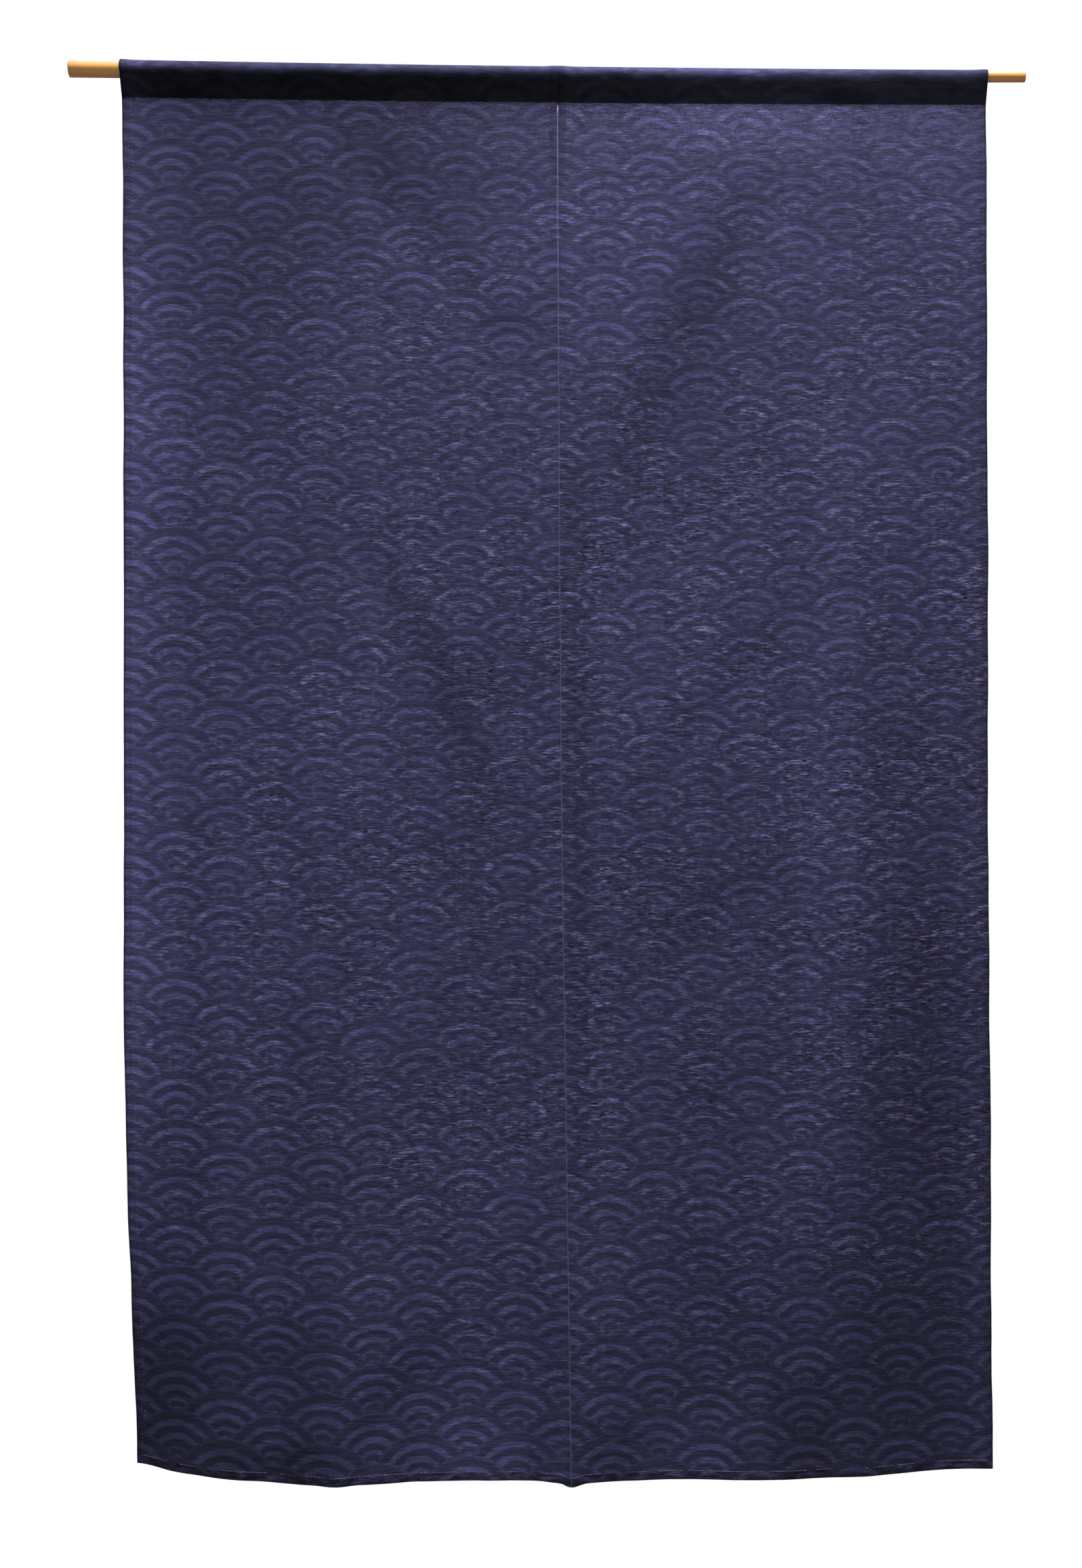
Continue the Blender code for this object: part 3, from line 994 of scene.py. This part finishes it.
def thread_material(pattern):
    """Pale twisted sewing thread, its tone varying at random along it."""
    graph = Graph("sewing_thread")
    place = graph.node("ShaderNodeTexCoord", out=3)
    twist = graph.noise(place, 900.0, 1.0)
    deeper = tuple(part * 0.6 for part in pattern.thread)
    base = graph.mix_colour(graph.span(twist, 0.3, 0.7), pattern.thread, deeper)
    # tone varying at random along the thread, from 0.25 to 1.15 of its colour
    sunk = graph.span(graph.noise(place, 120.0, 2.0), 0.35, 0.62, 0.25, 1.15)
    base = graph.node("ShaderNodeVectorMath", {"operation": "SCALE"}, {0: base, "Scale": sunk})
    graph.set(Base_Color=base, Roughness=0.6, Normal=graph.bump(twist, 0.0001, 0.5))
    return graph.material


def rod_material(look):
    """Varnished golden wood with long grain, a painted highlight towards the top and painted shade towards
    the underside.
    """
    graph = Graph("varnished_wood")
    place = graph.node("ShaderNodeTexCoord", out=3)
    stretched = graph.node("ShaderNodeMapping", values={"Vector": place, "Scale": (6.0, 300.0, 300.0)})
    broad = graph.node("ShaderNodeMapping", values={"Vector": place, "Scale": (5.0, 60.0, 60.0)})
    grain = graph.span(graph.noise(stretched, 1.0, 4.0, 0.6), 0.32, 0.68)
    bands = graph.span(graph.noise(broad, 1.0, 2.0), 0.35, 0.65)
    base = graph.mix_colour(grain * 0.55 + bands * 0.45, look.deep, look.pale)
    # painted shade towards the underside and painted highlight towards the top, by the way the surface faces
    facing = graph.node("ShaderNodeNewGeometry", out=1)
    up = graph.node("ShaderNodeSeparateXYZ", values={0: facing}, out=2)
    base = graph.mix_colour(graph.span(up, -0.15, -0.85, 0.0, 0.85), base, look.under)
    base = graph.mix_colour(graph.span(up, 0.20, 0.85, 0.0, 0.60), base, look.top)
    # a further band of painted shade on the lower flank, short of the bottom
    lower_shade_band = graph.span(up, -0.50, -0.30) * graph.span(up, 0.0, -0.25) * 0.35
    base = graph.mix_colour(lower_shade_band, base, look.under)
    rough = graph.span(grain, 0.0, 1.0, 0.30, 0.40)
    graph.set(Base_Color=base, Roughness=rough, Normal=graph.bump(grain, 0.0002, 0.25))
    graph.set(Coat_Weight=0.4, Coat_Roughness=0.18)
    return graph.material


def plain_material(name, base, rough):
    graph = Graph(name)
    graph.set(Base_Color=colour(base), Roughness=rough)
    return graph.material


# Operators


class NOREN_OT_rod(Operator):
    """Models the tapering rod that the curtain hangs from"""

    bl_idname = "noren.rod"
    bl_label = "Build Rod"

    def execute(self, context):
        look = context.scene.noren_rod
        bpy.ops.object.select_all(action="DESELECT")
        bpy.ops.mesh.primitive_cone_add(
            vertices=look.sides,
            radius1=ROD_RADIUS_LEFT,
            radius2=ROD_RADIUS_RIGHT,
            depth=ROD_LENGTH,
            rotation=(0, math.radians(90), 0),
        )
        rod = context.object
        rod.name = rod.data.name = "rod_stick"
        bpy.ops.object.transform_apply(location=True, rotation=True, scale=True)
        bpy.ops.object.mode_set(mode="EDIT")
        for part in range(1, look.parts):
            bpy.ops.mesh.select_all(action="SELECT")
            x = ROD_LENGTH * (part / look.parts - 0.5)
            bpy.ops.mesh.bisect(plane_co=(x, 0, 0), plane_no=(1, 0, 0))
        bpy.ops.object.mode_set(mode="OBJECT")
        for vert in rod.data.vertices:
            bare = smooth((abs(vert.co.x) - ROD_BARE_FROM) / 0.005)
            swell = 1 + 0.012 * wave(vert.co.x, 0.0, 0.14, 6.6) * bare
            vert.co.y *= swell
            vert.co.z = vert.co.z * swell + rod_height(vert.co.x)
        rim = rod.modifiers.new("worn_rim", "BEVEL")
        rim.width = look.end_round
        rim.segments = 3
        rim.limit_method = "ANGLE"
        rim.angle_limit = math.radians(60)
        bpy.ops.object.modifier_apply(modifier=rim.name)
        bpy.ops.object.shade_smooth_by_angle(angle=math.radians(40))
        rod.data.materials.append(rod_material(look))
        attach(rod, BODY)
        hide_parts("rod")
        return {"FINISHED"}


class NOREN_OT_panels(Operator):
    """Models both cloth panels with their hems, sleeves and stitching"""

    bl_idname = "noren.panels"
    bl_label = "Build Panels"

    def execute(self, context):
        sizes, pattern = context.scene.noren_cloth, context.scene.noren_pattern
        cloth, thread = cloth_material(pattern), thread_material(pattern)
        for name in SIDES:
            sheet = panel_sheet(name, sizes)
            sheet.data.materials.append(cloth)
            sewing = panel_stitching(name, sizes)
            sewing.data.materials.append(thread)
            for piece in (sheet, sewing):
                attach(piece, BODY)
            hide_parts(f"{name}_panel")
            hung = HungPanel(name, sizes)
            cut_width = hung.width + 2 * sizes.hem_width
            cut_length = DROP + sizes.hem_width + hung.sleeve_end(hung.width / 2)
        return {"FINISHED"}


class NOREN_OT_stage(Operator):
    """Sets the pale floor, the soft light and the camera at the photo's angle"""

    bl_idname = "noren.stage"
    bl_label = "Build Stage"

    def execute(self, context):
        look = context.scene.noren_stage
        self.floor(look)
        self.lights(context, look)
        self.camera(context, look)
        context.scene.view_settings.view_transform = "Standard"
        return {"FINISHED"}

    def floor(self, look):
        bpy.ops.object.select_all(action="DESELECT")
        bpy.ops.mesh.primitive_plane_add(size=1.0, location=(0.0, -0.55, -look.floor_drop))
        floor = bpy.context.object
        floor.name = "floor"
        floor.scale = (2.8, 2.4, 1.0)
        floor.data.materials.append(plain_material("pale_floor", (0.62, 0.61, 0.60), 0.7))

    def lights(self, context, look):
        bpy.ops.object.light_add(type="AREA", location=(0.30, -0.62, 2.00))
        key = context.object
        key.name = "overhead_light"
        key.data.energy = look.key_power
        key.data.size = 0.9
        key.rotation_euler = (Vector((0.05, 0, -0.45)) - key.location).to_track_quat("-Z", "Y").to_euler()
        world = bpy.data.worlds.new("studio")
        world.use_nodes = True
        tree = world.node_tree
        fill = tree.nodes["Background"]
        fill.inputs["Color"].default_value = (1.0, 1.0, 1.0, 1.0)
        fill.inputs["Strength"].default_value = look.fill
        white = tree.nodes.new("ShaderNodeBackground")
        white.inputs["Color"].default_value = (1.0, 1.0, 1.0, 1.0)
        seen = tree.nodes.new("ShaderNodeLightPath")
        either = tree.nodes.new("ShaderNodeMixShader")
        tree.links.new(seen.outputs["Is Camera Ray"], either.inputs[0])
        tree.links.new(fill.outputs[0], either.inputs[1])
        tree.links.new(white.outputs[0], either.inputs[2])
        tree.links.new(either.outputs[0], tree.nodes["World Output"].inputs["Surface"])
        context.scene.world = world

    def camera(self, context, look):
        photo_width, photo_height = 1596, 2313
        rod_middle_x, rod_middle_y = 807.0, 107.1
        lens_height = 24.0
        x = (photo_width / 2 - rod_middle_x) * look.photo_scale
        z = (rod_middle_y - photo_height / 2) * look.photo_scale
        bpy.ops.object.camera_add(location=(x, -look.camera_distance, z), rotation=(math.radians(90), 0, 0))
        camera = context.object
        camera.name = "photo_camera"
        camera.data.sensor_fit = "VERTICAL"
        camera.data.sensor_height = lens_height
        camera.data.lens = lens_height * look.camera_distance / (photo_height * look.photo_scale)
        context.scene.camera = camera


class NOREN_PT_sidebar(Panel):
    """Lists the curtain's sizes, colours and build steps"""

    bl_idname = "NOREN_PT_sidebar"
    bl_label = "Noren Curtain"
    bl_space_type = "VIEW_3D"
    bl_region_type = "UI"
    bl_category = "Noren"

    def draw(self, context):
        for group, operator in BUILD_ORDER:
            box = self.layout.box()
            settings = getattr(context.scene, group)
            for key in settings.__annotations__:
                box.prop(settings, key)
            if operator:
                box.operator(f"noren.{operator}")


BUILD_ORDER = (
    ("noren_rod", "rod"),
    ("noren_pattern", None),
    ("noren_cloth", "panels"),
    ("noren_stage", "stage"),
)
GROUPS = {
    "noren_rod": RodLook,
    "noren_pattern": WavePattern,
    "noren_cloth": ClothSizes,
    "noren_stage": StageLook,
}
CLASSES = (*GROUPS.values(), NOREN_OT_rod, NOREN_OT_panels, NOREN_OT_stage, NOREN_PT_sidebar)


def register():
    for cls in CLASSES:
        bpy.utils.register_class(cls)
    for name, group in GROUPS.items():
        setattr(bpy.types.Scene, name, PointerProperty(type=group))


def unregister():
    for name in GROUPS:
        delattr(bpy.types.Scene, name)
    for cls in reversed(CLASSES):
        bpy.utils.unregister_class(cls)


def main():
    register()
    bpy.ops.noren.rod()
    bpy.ops.noren.panels()
    bpy.ops.noren.stage()


if __name__ == "__main__":
    main()
